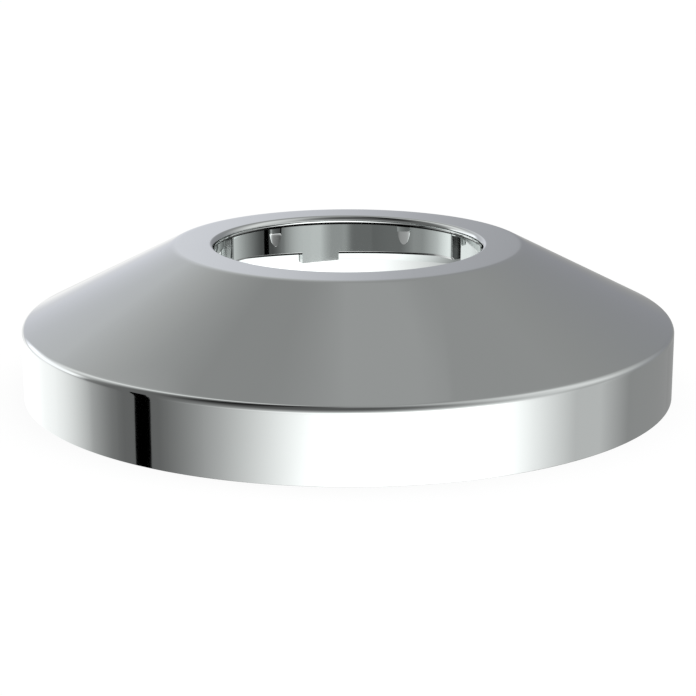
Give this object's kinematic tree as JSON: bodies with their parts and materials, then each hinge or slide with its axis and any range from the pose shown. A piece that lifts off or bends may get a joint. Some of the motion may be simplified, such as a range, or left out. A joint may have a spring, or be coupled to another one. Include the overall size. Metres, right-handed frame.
{
  "type": "pipe escutcheon",
  "caption": "Conical pipe escutcheon: straight rim, shallow cone and flat top with a thin lip round the pipe; a split, ribbed collar behind the lip steadies it. Hides the hole in the wall.",
  "frame": {"origin": "centre of the rim's lower face, which lies against the wall", "axes": "+Z along the pipe, out of the wall; +Y roughly through the middle of one collar finger"},
  "size_m": [0.054, 0.054, 0.0122],
  "materials": {
    "chrome_plating": "mirror chrome plating on moulded plastic"
  },
  "bodies": {
    "root": {"escutcheon": "chrome_plating"}
  },
  "joints": []
}
